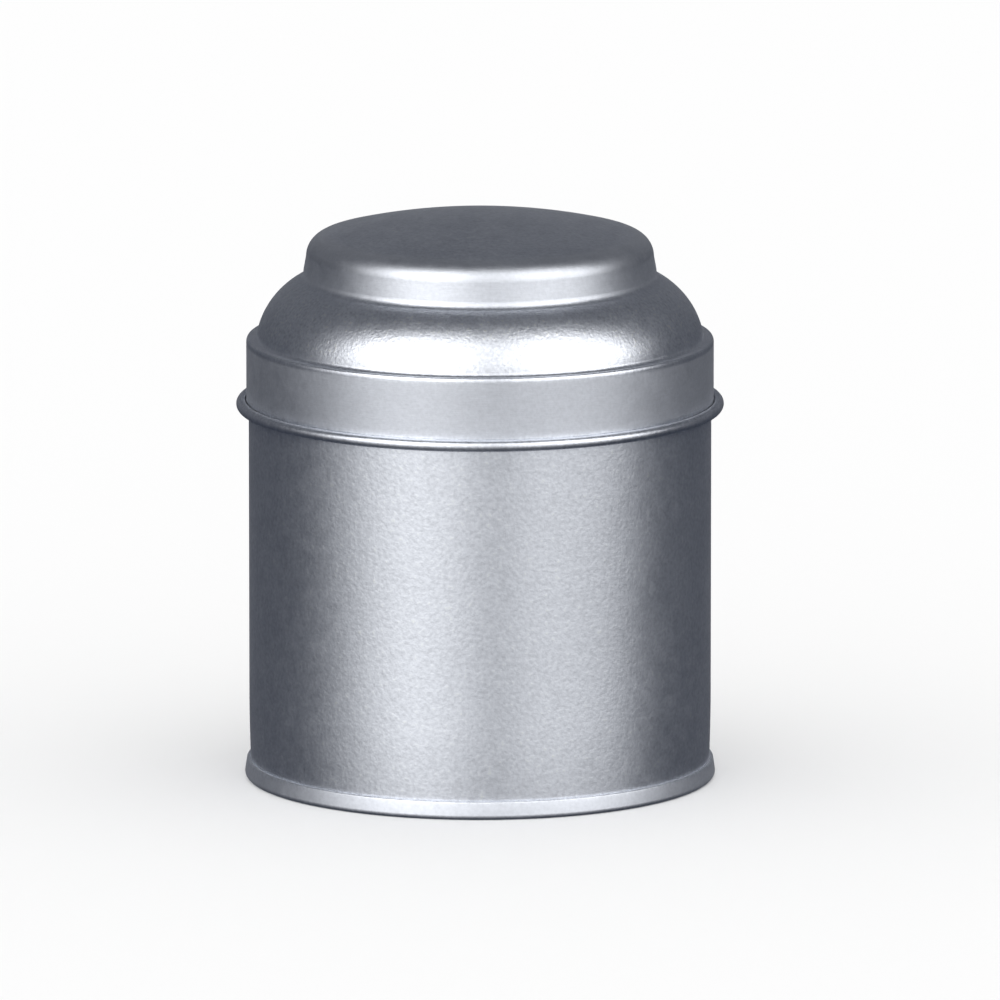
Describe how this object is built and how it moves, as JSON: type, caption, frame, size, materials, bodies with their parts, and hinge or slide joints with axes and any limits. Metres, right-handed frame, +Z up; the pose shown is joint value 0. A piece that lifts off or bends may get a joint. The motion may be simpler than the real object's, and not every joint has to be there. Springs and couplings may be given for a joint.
{
  "type": "candle tin",
  "caption": "Round tinplate candle tin with a double-seamed base and a stepped, domed slip-on lid that lifts off.",
  "frame": {"origin": "centre of the ring that the tin stands on, on the ground", "axes": "+Z up along the tin's axis, -Y towards the front, side seam at the back on +Y"},
  "size_m": [0.0768, 0.0768, 0.0897],
  "materials": {
    "wall_tinplate": "frosted, fine-grained plain tinplate with a faint upright grain",
    "base_tinplate": "plain tinplate, slightly smoother than the wall",
    "lid_tinplate": "frosted tinplate, coarse sparkling grain on the dome and crown, smoother on the drawn walls",
    "sealing_compound": "matt dark seaming compound"
  },
  "bodies": {
    "tin": {"body_wall": "wall_tinplate", "base_end": "base_tinplate", "seam_sealing_ring": "sealing_compound"},
    "lid": {"domed_lid": "lid_tinplate"}
  },
  "joints": [
    {"name": "lid_lift", "type": "slide", "parent": "tin", "child": "lid", "axis": [0, 0, 1], "range_m": [0, 0.045]}
  ]
}
